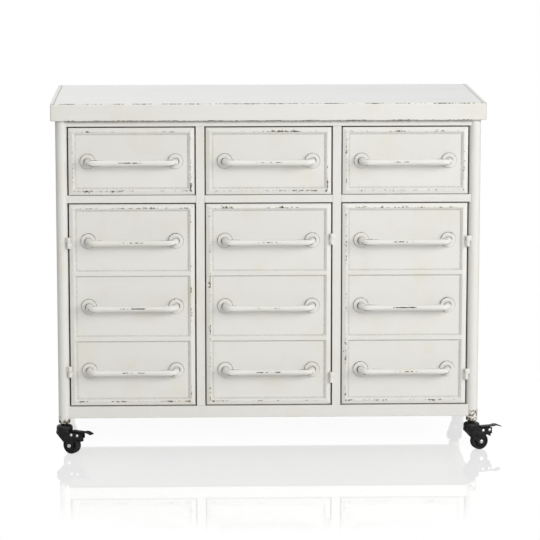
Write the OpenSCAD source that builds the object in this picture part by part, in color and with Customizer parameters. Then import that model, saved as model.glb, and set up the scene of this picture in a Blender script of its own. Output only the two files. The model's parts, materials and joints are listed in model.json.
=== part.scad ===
// Painted sheet-steel cabinet with three drawers above three doors, on four swivel casters.
// Millimetres. X runs to the viewer's right, Y to the back, Z up from the floor; the front faces -Y.
// The origin lies on the floor, below the middle of the top.

/* [Overall size] */
// Width over the top
width = 1000; // [940:5:1300]
// Depth over the top
depth = 450; // [400:5:600]
// Height of the top surface above the floor
height = 820; // [760:5:1000]

/* [Top] */
// Height of the folded edge of the top
top_fold = 40; // [25:1:50]
// Thickness of the steel sheet of the top
top_sheet = 2; // [1.5:0.1:3]
// Gap between the posts and the hem that turns in under the folded edge
hem_gap = 2; // [1:0.5:4]
// Width of the edging strips on the left and right side of the top
strip_w = 9; // [4:1:20]
// Thickness of the edging strips
strip_t = 0.8; // [0.5:0.1:1.2]

/* [Frame] */
// Diameter of the tube posts
post_d = 26.9; // [22:0.1:30]
// Wall of the tube posts
post_wall = 1.5; // [1:0.1:3]
// Distance of the post axes from the edges of the top
post_inset = 23.5; // [22.5:0.5:35]
// Radius of the rounded-in bottom end of a post
post_round = 4.5; // [2:0.5:5]
// Thickness of the closed bottom end of a post
post_end = 3; // [2:0.5:6]
// Height of the lower edge of the frame above the floor
frame_clear = 83; // [78:1:110]
// Width of the two dividers, seen from the front
bar = 20; // [15:0.5:28]
// Height of the middle rail between drawers and doors
middle_rail_h = 17.5; // [15:0.5:28]
// Depth of all bars, from front to back
bar_deep = 20; // [18:0.5:24]
// Wall of the bars
bar_wall = 1.5; // [1:0.1:3]
// Height of the bottom rails
bottom_rail_h = 27.5; // [20:0.5:45]
// Height of the strip of top rail that shows under the folded edge
top_rail_show = 14; // [8:0.5:25]

/* [Sheets inside the frame] */
// Thickness of the side, back and bottom panels, the deck and the partitions
panel_sheet = 1.2; // [0.8:0.1:2]
// Height of the shelves above the bottom panel
shelf_rise = 232; // [120:1:300]
// Height of the folded front and back edge of a shelf
shelf_edge = 15; // [8:1:30]
// Distance of a shelf and of the drawer rails from the front and rear frame
inside_gap = 8; // [6:0.5:20]
// Gap between a shelf and the walls beside it
shelf_gap = 1; // [0.5:0.5:3]
// Leg of the angle ledges under the shelves
ledge_leg = 12; // [8:0.5:20]

/* [Doors and drawer fronts] */
// Height of the drawer openings
drawer_open_h = 159.5; // [140:0.5:200]
// Gap around doors, and above and beside drawer fronts
gap = 3; // [2:0.5:4]
// Gap below the drawer fronts
gap_below = 1.5; // [1:0.1:3]
// Thickness of doors and drawer fronts, from the border's crest to the back
front_t = 16; // [14:0.5:17]
// Thickness of their sheet
front_sheet = 1.2; // [0.8:0.1:2]
// Distance of the border's crest from the panel's edge
crest_in = 9; // [6:0.5:15]
// Width of the flat land along the crest
crest_land = 0.8; // [0.4:0.1:2]
// Width of the slope from the crest down to the sunk field
crest_slope = 6.2; // [3:0.1:10]
// Depth of the panel's edge behind the crest
edge_drop = 3; // [1:0.5:4]
// Depth of the sunk fields behind the crest
field_drop = 4; // [2:0.5:5]
// Height of a door's lowest field as a share of each field above it
low_field = 0.96; // [0.8:0.01:1.2]
// Width of a rib between two fields, at its foot
rib_w = 14.7; // [9:0.1:20]
// Width of each slope of a rib
rib_slope = 3.3; // [1.5:0.1:4]
// Thickness of the lining that closes a door's back
lining_sheet = 1; // [0.8:0.1:1.5]
// Height of the lining's folded edges
lining_fold = 8; // [5:0.5:9]

/* [Pull handles] */
// Distance between the two legs of a handle
handle_span = 202; // [140:1:222]
// Diameter of a handle's legs and bends
handle_end_d = 14.5; // [10:0.5:16]
// Diameter in the middle of a handle's bar
handle_mid_d = 12; // [8:0.5:14]
// Distance of the bar's axis from the sunk field
handle_reach = 36; // [28:0.5:50]
// Radius of the bend between leg and bar
handle_bend = 16; // [10:0.5:20]
// Diameter of the rosettes
rosette_d = 34; // [26:0.5:40]
// Thickness of the rosettes
rosette_t = 5; // [3:0.5:8]
// Radius of the rosettes' rounded rim
rosette_round = 1; // [0.5:0.1:1.5]
// Width of the open groove around a leg in its rosette
rosette_groove = 1; // [0.5:0.1:4]

/* [Hinges] */
// Diameter of the hinge barrels
knuckle_d = 9; // [7:0.5:12]
// Height of one knuckle
knuckle_h = 12.3; // [8:0.1:20]
// Gap between the two knuckles of a hinge
knuckle_gap = 0.4; // [0.2:0.1:1]
// Distance of the barrels in front of the frame
knuckle_off = 0.2; // [0.1:0.1:1]
// Diameter of the hinge pins
hinge_pin_d = 5; // [3:0.5:6]
// Running clearance of a pin in its hole, on the radius
run_clear = 0.05; // [0.02:0.01:0.1]
// Height of each door's lower hinge above the door opening's lower edge, left to right
hinge_low = [83.5, 67.5, 73.5]; // [50:0.5:120]
// Depth of each door's upper hinge below the door opening's upper edge, left to right
hinge_high = [92, 85, 91]; // [50:0.5:120]
// Width of the lugs that weld the knuckles on
lug_w = 7; // [5:0.5:9]

/* [Magnetic catches] */
// Width of a catch
catch_w = 36; // [20:1:60]
// Height of a catch
catch_h = 12; // [8:0.5:20]
// Depth of a catch
catch_deep = 12; // [8:0.5:20]
// Gap between a catch and the shut door
catch_gap = 0.3; // [0.2:0.1:0.5]
// Distance of a catch from the free side of its door
catch_in = 40; // [25:1:80]

/* [Drawer trays] */
// Height of the tray's sides
tray_h = 120; // [60:1:128]
// Gap between a tray and the back panel
tray_back_gap = 18; // [8:1:150]
// Thickness of the tray's sheet
tray_sheet = 1; // [0.8:0.1:1.5]
// Gap between a tray's side and the side of its opening
tray_side_gap = 13; // [12:0.5:20]
// Height of the tray above the lower edge of its opening
tray_rise = 10; // [4:0.5:14]
// Width of the tray's outer flange
hook_w = 8; // [5:0.5:9]
// Height of the lip that turns down from the flange and runs on the rail
hook_h = 8; // [5:0.5:12]
// Thickness of the channel rails' sheet
rail_sheet = 1.2; // [0.8:0.1:2]
// Gap between the flange's lip and the rail that carries it
hook_gap = 0.3; // [0.2:0.1:0.5]
// Gap between the tray's side and the rail's edge
rail_gap = 1; // [0.5:0.1:1.5]
// Side play of the flange's lip in the rail
hook_play = 2.5; // [1:0.5:3]

/* [Casters] */
// Diameter of the wheels
wheel_d = 40; // [36:1:42]
// Width of a wheel's tread
wheel_w = 18; // [12:0.5:20]
// Radius of the rounded tread edges
tread_round = 3; // [1:0.5:4]
// Diameter of a wheel's hub
wheel_hub_d = 13; // [10:0.5:16]
// Depth of the dish in each side of a wheel
wheel_dish = 2; // [0.5:0.5:4]
// Distance of the wheel's axle behind the swivel axis
trail = 20; // [16:1:24]
// Gap between the wheel's tread and the fork plates
wheel_gap = 1; // [0.5:0.1:2]
// Gap between the wheel's hub and the fork plates
hub_gap = 0.2; // [0.1:0.1:0.4]
// Thickness of the fork plates
fork_sheet = 2; // [1.5:0.1:3]
// Diameter of the swivel head
head_d = 38; // [34:0.5:40]
// Height of the swivel head's top above the floor
head_top = 66; // [64:0.5:70]
// Height of the swivel head
head_h = 16; // [12:0.5:18]
// Radius of the swivel head's rounded shoulder
head_round = 6; // [3:0.5:8]
// Diameter of the neck between post and swivel head
neck_d = 15; // [12:0.5:16]
// Height of the neck
neck_h = 3.5; // [2:0.5:8]
// Diameter of the stem
stem_d = 10; // [8:0.5:11]
// Length of the stem inside the post
stem_up = 30; // [20:1:60]
// Diameter of the stem's riveted lower end
stem_end_d = 14; // [12:0.5:16]
// Thickness of the stem's riveted lower end
stem_end_t = 2; // [1:0.5:3]
// Gap between the swivel head and the stem's riveted end
swivel_gap = 0.3; // [0.2:0.1:0.5]
// Diameter of the wheel axles
axle_d = 6; // [4:0.5:8]
// Diameter of the axle's head and nut
nut_d = 9.5; // [8:0.5:12]
// Thickness of the axle's head and nut
nut_t = 3; // [2:0.5:5]
// Diameter of the brake's rivets
rivet_d = 4; // [3:0.5:5]
// Diameter of the rivets' heads
rivet_head_d = 7; // [5.5:0.5:8]
// Thickness of the rivets' heads
rivet_head_t = 1.8; // [1:0.1:2.5]
// Gap between a brake pedal and the fork plates beside it
pedal_gap = 2; // [1:0.5:4]
// Thickness of the pedal's bar
pedal_t = 2.5; // [1.5:0.1:3.5]
// Turn of each caster about its stem: front left, front right, rear left, rear right
caster_turn = [-30, 20, 120, 60]; // [-180:1:180]

/* [Hidden] */
$fn = 48;

paint = [0.90, 0.90, 0.87];
paint_inside = [0.84, 0.84, 0.81];
black = [0.12, 0.12, 0.12];
bright = [0.75, 0.75, 0.76];

// Small overshoot of a cut past the surface that it opens
past = 1;

// Frame
post_r = post_d / 2;
post_x = width / 2 - post_inset;
post_y = depth / 2 - post_inset;
post_bottom = head_top + neck_h;
frame_top = height - top_sheet;
frame_front = -(post_y + bar_deep / 2);
inner_front = -(post_y - bar_deep / 2);
inner_back = -inner_front - panel_sheet;
inner_side = post_x - bar_deep / 2 - panel_sheet;
open_w = (2 * (post_x - post_r) - 2 * bar) / 3;
column = open_w + bar;
divider_x = column / 2;

// Heights of the openings
drawer_top = height - top_fold - top_rail_show;
drawer_bottom = drawer_top - drawer_open_h;
door_top = drawer_bottom - middle_rail_h;
door_bottom = frame_clear + bottom_rail_h;

// Doors and drawer fronts
front_w = open_w - 2 * gap;
drawer_h = drawer_open_h - gap - gap_below;
door_h = door_top - door_bottom - 2 * gap;
front_back = frame_front + front_t;
border = crest_in + crest_land + crest_slope;

// Hinges: the left door's are on its left, the others' on their right
hinge_side = [-1, 1, 1];
hinge_y = frame_front - knuckle_off - knuckle_d / 2;

// Trays and their rails
tray_w = open_w - 2 * tray_side_gap;
tray_z = drawer_bottom + tray_rise;
tray_top = tray_z + tray_h;
tray_back = inner_back - tray_back_gap;
rail_in = tray_w / 2 + rail_gap;
rail_out = tray_w / 2 + hook_w + hook_play + rail_sheet;
rail_bottom = tray_top - hook_h - hook_gap - rail_sheet;
rail_top = tray_top + 1 + rail_sheet;

// Casters
head_bottom = head_top - head_h;
wheel_r = wheel_d / 2;
plate_in = wheel_w / 2 + wheel_gap;
plate_out = plate_in + fork_sheet;
// Height of the brake's rivets, and their distances behind the swivel axis
rivet_z = wheel_d + 6;
shoe_rivet = trail + 5.3;
pedal_rivet = trail + 21.7;

// Helpers for plates and bars

// Box between two corners
module block(low, high) {
    translate(low) cube(high - low);
}

// A cylinder where each post stands, to shape what meets the posts
module post_space() {
    for (sx = [-1, 1], sy = [-1, 1])
        translate([sx * post_x, sy * post_y, 0]) cylinder(h = height, d = post_d);
}

// Rectangular tube along X between two posts or dividers
module bar_x(x0, x1, y, z0, z1) {
    difference() {
        block([x0, y - bar_deep / 2, z0], [x1, y + bar_deep / 2, z1]);
        block([x0 - past, y - bar_deep / 2 + bar_wall, z0 + bar_wall],
              [x1 + past, y + bar_deep / 2 - bar_wall, z1 - bar_wall]);
        post_space();
    }
}

// Rectangular tube along Y between the right-hand posts, notched at its inner corners for the bars along X
module bar_y(z0, z1) {
    x = post_x;
    half = bar_deep / 2;
    difference() {
        block([x - half, -post_y, z0], [x + half, post_y, z1]);
        block([x - half + bar_wall, -post_y - past, z0 + bar_wall],
              [x + half - bar_wall, post_y + past, z1 - bar_wall]);
        for (y = [-post_y, post_y])
            block([x - half - past, y - half, z0 - past], [x, y + half, z1 + past]);
        post_space();
    }
}

// Top

// Sheet folded down on all four sides, with a narrow hem turned in below and a rebate for each edging strip
module top_panel() {
    color(paint) difference() {
        x = width / 2 - strip_t;
        y = depth / 2;
        low = height - top_fold;
        block([-x, -y, low], [x, y, height]);
        block([-x + top_sheet, -y + top_sheet, low + top_sheet], [x - top_sheet, y - top_sheet, frame_top]);
        hem_x = post_x + post_r + hem_gap;
        hem_y = post_y + post_r + hem_gap;
        block([-hem_x, -hem_y, low - past], [hem_x, hem_y, frame_top]);
        for (s = [0, 1]) mirror([s, 0, 0])
            block([width / 2 - strip_w, -y - past, height - strip_t], [x + past, y + past, height + past]);
    }
}

// Angle strips that cover the left and right edge of the top and lie flush with it
module top_edge_strips() {
    color(paint) for (s = [-1, 1]) mirror([s < 0 ? 1 : 0, 0, 0]) {
        block([width / 2 - strip_t, -depth / 2, height - top_fold], [width / 2, depth / 2, height]);
        block([width / 2 - strip_w, -depth / 2, height - strip_t], [width / 2, depth / 2, height]);
    }
}

// Frame

// Half section of a post: tube with a rounded-in, closed bottom end that holds the caster's stem
module post_section() {
    difference() {
        union() {
            translate([0, post_bottom + post_round]) square([post_r, frame_top - post_bottom - post_round]);
            translate([0, post_bottom]) square([post_r - post_round, post_round + past]);
            translate([post_r - post_round, post_bottom + post_round]) circle(r = post_round);
        }
        translate([-past, post_bottom + post_end]) square([past + post_r - post_wall, height]);
        translate([-past, post_bottom - past]) square([past + stem_d / 2, post_end + 2 * past]);
    }
}

module post(sx, sy) {
    color(paint) translate([sx * post_x, sy * post_y, 0]) rotate_extrude() post_section();
}

module front_top_rail() {
    color(paint) bar_x(-post_x, post_x, -post_y, drawer_top, frame_top);
}

// Three lengths, between the posts and the dividers
module front_middle_rail() {
    color(paint) {
        bar_x(-post_x, -divider_x - bar / 2, -post_y, door_top, drawer_bottom);
        bar_x(-divider_x + bar / 2, divider_x - bar / 2, -post_y, door_top, drawer_bottom);
        bar_x(divider_x + bar / 2, post_x, -post_y, door_top, drawer_bottom);
    }
}

module front_bottom_rail() {
    color(paint) bar_x(-post_x, post_x, -post_y, frame_clear, door_bottom);
}

// Two uprights between the bottom rail and the top rail
module front_dividers() {
    color(paint) for (s = [-1, 1]) translate([s * divider_x, -post_y, 0]) difference() {
        block([-bar / 2, -bar_deep / 2, door_bottom], [bar / 2, bar_deep / 2, drawer_top]);
        block([-bar / 2 + bar_wall, -bar_deep / 2 + bar_wall, door_bottom - past],
              [bar / 2 - bar_wall, bar_deep / 2 - bar_wall, drawer_top + past]);
    }
}

module side_rails() {
    color(paint) for (s = [0, 1]) mirror([s, 0, 0]) {
        bar_y(drawer_top, frame_top);
        bar_y(frame_clear, door_bottom);
    }
}

module rear_rails() {
    color(paint) {
        bar_x(-post_x, post_x, post_y, drawer_top, frame_top);
        bar_x(-post_x, post_x, post_y, frame_clear, door_bottom);
    }
}

// Sheets inside the frame

// Side sheet, welded to the inner faces of the side rails
module side_panel(s) {
    color(paint) mirror([s < 0 ? 1 : 0, 0, 0])
        block([inner_side, inner_front, frame_clear], [inner_side + panel_sheet, -inner_front, frame_top]);
}

module back_panel() {
    color(paint)
        block([-inner_side, inner_back, frame_clear], [inner_side, inner_back + panel_sheet, frame_top]);
}

// Cupboard floor, flush with the top of the bottom rails
module bottom_panel() {
    color(paint_inside)
        block([-inner_side, inner_front, door_bottom - panel_sheet], [inner_side, inner_back, door_bottom]);
}

// Sheet between the drawers and the cupboards
module drawer_deck() {
    color(paint_inside)
        block([-inner_side, inner_front, door_top], [inner_side, inner_back, door_top + panel_sheet]);
}

// Upright sheets behind the dividers, below and above the deck
module partitions() {
    half = panel_sheet / 2;
    color(paint_inside) for (x = [-divider_x, divider_x]) {
        block([x - half, inner_front, door_bottom], [x + half, inner_back, door_top]);
        block([x - half, inner_front, door_top + panel_sheet], [x + half, inner_back, frame_top]);
    }
}

// Left and right wall of each compartment
wall_left = [-inner_side, -divider_x + panel_sheet / 2, divider_x + panel_sheet / 2];
wall_right = [-divider_x - panel_sheet / 2, divider_x - panel_sheet / 2, inner_side];
shelf_z = door_bottom + shelf_rise;
inside_front = inner_front + inside_gap;
inside_back = inner_back - inside_gap;

// One shelf in each cupboard, its front and back edge folded down
module shelves() {
    color(paint_inside) for (i = [0 : 2]) {
        x0 = wall_left[i] + shelf_gap;
        x1 = wall_right[i] - shelf_gap;
        block([x0, inside_front, shelf_z], [x1, inside_back, shelf_z + panel_sheet]);
        // The folds stop short of the ledges
        for (y = [inside_front, inside_back - panel_sheet])
            block([x0 + ledge_leg, y, shelf_z + panel_sheet - shelf_edge],
                  [x1 - ledge_leg, y + panel_sheet, shelf_z + panel_sheet]);
    }
}

// Angles that the shelves lie on
module shelf_ledges() {
    color(paint_inside) for (i = [0 : 2], s = [0, 1]) {
        x = s == 0 ? wall_left[i] : wall_right[i];
        translate([x, 0, shelf_z]) mirror([s, 0, 0]) {
            block([0, inside_front, -panel_sheet], [ledge_leg - shelf_gap, inside_back, 0]);
            block([0, inside_front, -ledge_leg], [panel_sheet, inside_back, 0]);
        }
    }
}

// Channel rail open towards the tray, with an arm and a weld flange that reach the wall beside it
module drawer_rail(wall) {
    length = inside_back - inside_front;
    tall = rail_top - rail_bottom;
    reach = wall - rail_in;
    translate([0, inside_back, 0]) rotate([90, 0, 0]) linear_extrude(height = length) {
        translate([rail_in, rail_bottom]) square([rail_out - rail_in, rail_sheet]);
        translate([rail_out - rail_sheet, rail_bottom]) square([rail_sheet, tall]);
        translate([rail_in, rail_top - rail_sheet]) square([reach, rail_sheet]);
        translate([wall - rail_sheet, rail_bottom]) square([rail_sheet, tall]);
    }
}

module drawer_rails() {
    color(bright) for (i = [0 : 2]) {
        centre = (i - 1) * column;
        translate([centre, 0, 0]) drawer_rail(wall_right[i] - centre);
        translate([centre, 0, 0]) mirror([1, 0, 0]) drawer_rail(centre - wall_left[i]);
    }
}

// Magnets under the middle rail and the deck, at each door's free side
module magnetic_catches() {
    color(black) for (i = [0 : 2]) {
        x = (i - 1) * column - hinge_side[i] * (front_w / 2 - catch_in);
        block([x - catch_w / 2, front_back + catch_gap, door_top - catch_h],
              [x + catch_w / 2, front_back + catch_gap + catch_deep, door_top]);
    }
}

// Pressed panels, drawn lying face up: X across, Y up the panel, Z out of its face, Z = 0 at the crest

// Solid between a lower and an upper rectangle, each [x0, x1, y0, y1]
module tapered(low, low_z, high, high_z) {
    corner = [[0, 2], [1, 2], [1, 3], [0, 3]];
    polyhedron(
        points = [
            for (c = corner) [low[c[0]], low[c[1]], low_z],
            for (c = corner) [high[c[0]], high[c[1]], high_z],
        ],
        faces = [[0, 1, 2, 3], [4, 5, 1, 0], [7, 6, 5, 4], [5, 6, 2, 1], [6, 7, 3, 2], [7, 4, 0, 3]]
    );
}

function inset(r, d) = [r[0] + d, r[1] - d, r[2] + d, r[3] - d];

// Height of each sunk field of a panel with n fields, but for the lowest of several
function field_h(h, n) = (h - 2 * border - (n - 1) * rib_w) / (n == 1 ? 1 : n - 1 + low_field);

// Height of field i
function own_h(h, n, i) = field_h(h, n) * (n > 1 && i == 0 ? low_field : 1);

// Height of field i's lower edge above the panel's lower edge
function field_foot(h, n, i) = i == 0 ? border : field_foot(h, n, i - 1) + own_h(h, n, i - 1) + rib_w;

// Sunk field i of n, with a wide slope at the border and narrow ones at the ribs
module field(h, n, i) {
    y0 = field_foot(h, n, i);
    y1 = y0 + own_h(h, n, i);
    x = front_w / 2 - border;
    // The slopes are carried on past the crest
    more = (field_drop + past) / field_drop;
    side = crest_slope * more;
    down = (i == 0 ? crest_slope : rib_slope) * more;
    up = (i == n - 1 ? crest_slope : rib_slope) * more;
    tapered([-x, x, y0, y1], -field_drop, [-x - side, x + side, y0 - down, y1 + up], past);
}

// Pressed skin with folded-back edges, open behind
module pressed_skin(h, n) {
    outer = [-front_w / 2, front_w / 2, 0, h];
    difference() {
        union() {
            tapered(outer, -edge_drop, inset(outer, crest_in), 0);
            block([outer[0], outer[2], -front_t], [outer[1], outer[3], -edge_drop]);
        }
        hollow = inset(outer, front_sheet);
        block([hollow[0], hollow[2], -front_t - past], [hollow[1], hollow[3], -field_drop - front_sheet]);
        for (i = [0 : n - 1]) field(h, n, i);
    }
}

// Stands a face-up panel in opening i with its lower edge at height z
module hang(i, z) {
    translate([(i - 1) * column, frame_front, z]) rotate([90, 0, 0]) children();
}

module drawer_front(i) {
    color(paint) hang(i, drawer_bottom + gap_below) pressed_skin(drawer_h, 1);
}

module door_skin(i) {
    color(paint) hang(i, door_bottom + gap) pressed_skin(door_h, 3);
}

// Sheet with folded edges, nested in the back of the skin
module door_lining(i) {
    inner = inset([-front_w / 2, front_w / 2, 0, door_h], front_sheet);
    open = inset(inner, lining_sheet);
    color(paint_inside) hang(i, door_bottom + gap) difference() {
        block([inner[0], inner[2], -front_t], [inner[1], inner[3], -front_t + lining_fold]);
        block([open[0], open[2], -front_t + lining_sheet],
              [open[1], open[3], -front_t + lining_fold + past]);
    }
}

// Pull handles, drawn like the panels: Z out of the face, Z = 0 on the sunk field

// One bow: two legs, two bends and a bar that thins towards its middle
module handle_bow() {
    leg = handle_reach - handle_bend;
    half_bar = handle_span / 2 - handle_bend;
    foot = rosette_t / 2;
    for (s = [0, 1]) mirror([s, 0, 0]) {
        translate([handle_span / 2, 0, foot]) cylinder(h = leg - foot, d = handle_end_d);
        translate([half_bar, 0, leg]) rotate([90, 0, 0])
            rotate_extrude(angle = 90) translate([handle_bend, 0]) circle(d = handle_end_d);
        translate([0, 0, handle_reach]) rotate([0, 90, 0])
            cylinder(h = half_bar, d1 = handle_mid_d, d2 = handle_end_d);
    }
}

// Round foot plate with a rounded rim and an open groove around the leg
module rosette() {
    r = rosette_d / 2 - rosette_round;
    rotate_extrude() difference() {
        union() {
            square([r, rosette_t]);
            square([rosette_d / 2, rosette_t - rosette_round]);
            translate([r, rosette_t - rosette_round]) circle(r = rosette_round);
        }
        translate([0, rosette_t / 2]) square([handle_end_d / 2 + rosette_groove, rosette_t]);
    }
}

module handle() {
    handle_bow();
    for (s = [-1, 1]) translate([s * handle_span / 2, 0, 0]) rosette();
}

module drawer_handle(i) {
    color(paint) hang(i, drawer_bottom + gap_below) translate([0, drawer_h / 2, -field_drop]) handle();
}

module door_handles(i) {
    color(paint) hang(i, door_bottom + gap)
        for (k = [0 : 2])
            translate([0, field_foot(door_h, 3, k) + own_h(door_h, 3, k) / 2, -field_drop]) handle();
}

// Drawer trays

// Tray with a front plate that closes the pressed front, and hooked flanges that run in the rails
module drawer_tray(i) {
    y0 = front_back;
    y1 = tray_back;
    half = tray_w / 2;
    plate_x = front_w / 2 - front_sheet;
    color(paint_inside) translate([(i - 1) * column, 0, 0]) {
        block([-plate_x, y0 - tray_sheet, drawer_bottom + gap_below + front_sheet],
              [plate_x, y0, drawer_top - gap - front_sheet]);
        difference() {
            block([-half, y0, tray_z], [half, y1, tray_top]);
            block([-half + tray_sheet, y0 - past, tray_z + tray_sheet],
                  [half - tray_sheet, y1 - tray_sheet, tray_top + past]);
        }
        for (s = [0, 1]) mirror([s, 0, 0]) {
            block([half, y0, tray_top - tray_sheet], [half + hook_w, y1, tray_top]);
            block([half + hook_w - tray_sheet, y0, tray_top - hook_h], [half + hook_w, y1, tray_top]);
        }
    }
}

// Hinges

// Plan of a lug from the barrel to a flat or sloping face; u runs along the face, v into the cabinet
module lug_plan(near, far) {
    polygon([[0, -knuckle_d * 0.2], [lug_w * 0.7, near * 0.2], far, [gap / 2, near],
             [0, knuckle_d * 0.45]]);
}

// The hinge axis of door i, with its height
module at_hinge(i, z) {
    translate([(i - 1) * column + hinge_side[i] * (open_w - gap) / 2, hinge_y, z]) children();
}

function hinge_heights(i) = [door_bottom + hinge_low[i], door_top - hinge_high[i]];

// Upper knuckle and pin, welded to a post or to a divider
module frame_knuckle(i) {
    face = knuckle_d / 2 + knuckle_off;
    translate([0, 0, knuckle_gap / 2]) {
        cylinder(h = knuckle_h, d = knuckle_d);
        linear_extrude(height = knuckle_h) mirror([hinge_side[i] < 0 ? 1 : 0, 0, 0])
            if (i == 1) lug_plan(face, [lug_w, face]);
            else difference() {
                polygon([[0, -knuckle_d * 0.2], [lug_w, 0], [lug_w + 4, face + post_r / 2],
                         [lug_w * 0.6, face + post_r / 2], [0, knuckle_d * 0.45]]);
                translate([gap / 2 + post_r, face + bar_deep / 2]) circle(d = post_d);
            }
    }
    translate([0, 0, -knuckle_gap / 2 - knuckle_h])
        cylinder(h = knuckle_h + knuckle_gap + past, d = hinge_pin_d);
}

module frame_knuckles() {
    color(paint) for (i = [0 : 2], z = hinge_heights(i)) at_hinge(i, z) frame_knuckle(i);
}

// Lower knuckle, bored for the pin and welded to the door's sloping edge
module door_knuckles(i) {
    face = knuckle_d / 2 + knuckle_off + edge_drop;
    at_crest = face - edge_drop * (lug_w - gap / 2) / crest_in;
    color(paint) for (z = hinge_heights(i)) at_hinge(i, z - knuckle_gap / 2 - knuckle_h) difference() {
        union() {
            cylinder(h = knuckle_h, d = knuckle_d);
            linear_extrude(height = knuckle_h) mirror([hinge_side[i] > 0 ? 1 : 0, 0, 0])
                lug_plan(face, [lug_w, at_crest]);
        }
        translate([0, 0, -past]) cylinder(h = knuckle_h + 2 * past, d = hinge_pin_d + 2 * run_clear);
    }
}

// Casters, drawn with the stem's axis at X = Y = 0 and the wheel trailing towards +X

corner_sign = [[-1, -1], [1, -1], [-1, 1], [1, 1]];

// Places a caster part under post k, turned as it stands
module caster(k) {
    translate([corner_sign[k][0] * post_x, corner_sign[k][1] * post_y, 0])
        rotate([0, 0, caster_turn[k]]) children();
}

// Stem with its neck, fixed in the post and riveted over below the swivel head
module caster_stems() {
    color(bright) for (k = [0 : 3]) caster(k) {
        low = head_bottom - swivel_gap - stem_end_t;
        translate([0, 0, head_top]) cylinder(h = neck_h, d = neck_d);
        translate([0, 0, low]) cylinder(h = post_bottom + stem_up - low, d = stem_d);
        translate([0, 0, low]) cylinder(h = stem_end_t, d = stem_end_d);
    }
}

// Side view of a fork plate; with a brake it reaches back to the pedal's rivet
module fork_plate_side(brake) {
    r = axle_d / 2 + 7;
    lead = head_d / 2 - 3;
    z = head_bottom + fork_sheet;
    translate([trail, wheel_r]) circle(r = r);
    if (brake)
        polygon([[-lead, z], [-lead, head_bottom - 3.5], [trail - r, wheel_r], [trail + r, wheel_r],
                 [trail + r + 3, rivet_z - 11], [pedal_rivet + 6.5, rivet_z - 8.5], [pedal_rivet + 6.5, z]]);
    else
        polygon([[-lead, z], [-lead, head_bottom - 3.5], [trail - r, wheel_r], [trail + r, wheel_r],
                 [trail + r - 1, wheel_r + 14], [lead + 3, z]]);
}

// Swivel head with two side plates and a web in front of the wheel
module fork(k) {
    brake = k < 2;
    lead = head_d / 2 - 3;
    color(black) caster(k) difference() {
        union() {
            rotate_extrude() {
                translate([0, head_bottom]) square([head_d / 2, head_h - head_round]);
                translate([0, head_bottom]) square([head_d / 2 - head_round, head_h]);
                translate([head_d / 2 - head_round, head_top - head_round]) circle(r = head_round);
            }
            for (s = [-1, 1]) translate([0, (s * (plate_in + plate_out) + fork_sheet) / 2, 0])
                rotate([90, 0, 0]) linear_extrude(height = fork_sheet) fork_plate_side(brake);
            translate([0, plate_out, 0]) rotate([90, 0, 0]) linear_extrude(height = 2 * plate_out)
                polygon([[-lead, head_bottom + past], [-lead, head_bottom - 3.5],
                         [-lead / 3, head_bottom - 14], [-lead / 3 + 3, head_bottom - 13],
                         [-lead + 3, head_bottom - 3], [-lead + 3, head_bottom + past]]);
        }
        translate([0, 0, head_bottom - past]) cylinder(h = head_h + 2 * past, d = stem_d + 2 * run_clear);
        cross_hole(trail, wheel_r, axle_d);
        if (brake) cross_hole(shoe_rivet, rivet_z, rivet_d);
        if (brake) cross_hole(pedal_rivet, rivet_z, rivet_d);
    }
}

// Hole or pin across the fork
module cross_hole(x, z, d) {
    translate([x, plate_out + past, z]) rotate([90, 0, 0]) cylinder(h = 2 * (plate_out + past), d = d);
}

// Pin through both plates with a head at each end
module cross_pin(x, z, d, end_d, end_t) {
    translate([x, 0, z]) rotate([90, 0, 0]) {
        translate([0, 0, -plate_out - end_t]) cylinder(h = 2 * (plate_out + end_t), d = d);
        for (side = [-plate_out - end_t, plate_out]) translate([0, 0, side]) cylinder(h = end_t, d = end_d);
    }
}

// Axle bolt, and on a braked caster its two rivets
module fork_pins(k) {
    color(bright) caster(k) {
        cross_pin(trail, wheel_r, axle_d, nut_d, nut_t);
        if (k < 2) cross_pin(shoe_rivet, rivet_z, rivet_d, rivet_head_d, rivet_head_t);
        if (k < 2) cross_pin(pedal_rivet, rivet_z, rivet_d, rivet_head_d, rivet_head_t);
    }
}

// Wheel with rounded tread edges, dished sides and a hub that spaces it in the fork
module wheel(k) {
    hub = plate_in - hub_gap;
    half = wheel_w / 2;
    color(black) caster(k) translate([trail, 0, wheel_r]) rotate([90, 0, 0]) rotate_extrude() difference() {
        union() {
            translate([0, -half]) square([wheel_r - tread_round, wheel_w]);
            translate([0, -half + tread_round]) square([wheel_r, wheel_w - 2 * tread_round]);
            for (s = [-1, 1])
                translate([wheel_r - tread_round, s * (half - tread_round)]) circle(r = tread_round);
            translate([0, -hub]) square([wheel_hub_d / 2, 2 * hub]);
        }
        for (z = [-half - past, half - wheel_dish])
            translate([wheel_hub_d / 2, z])
                square([wheel_r - tread_round - 1 - wheel_hub_d / 2, wheel_dish + past]);
        translate([-past, -wheel_w]) square([past + axle_d / 2 + run_clear, 2 * wheel_w]);
    }
}

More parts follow.
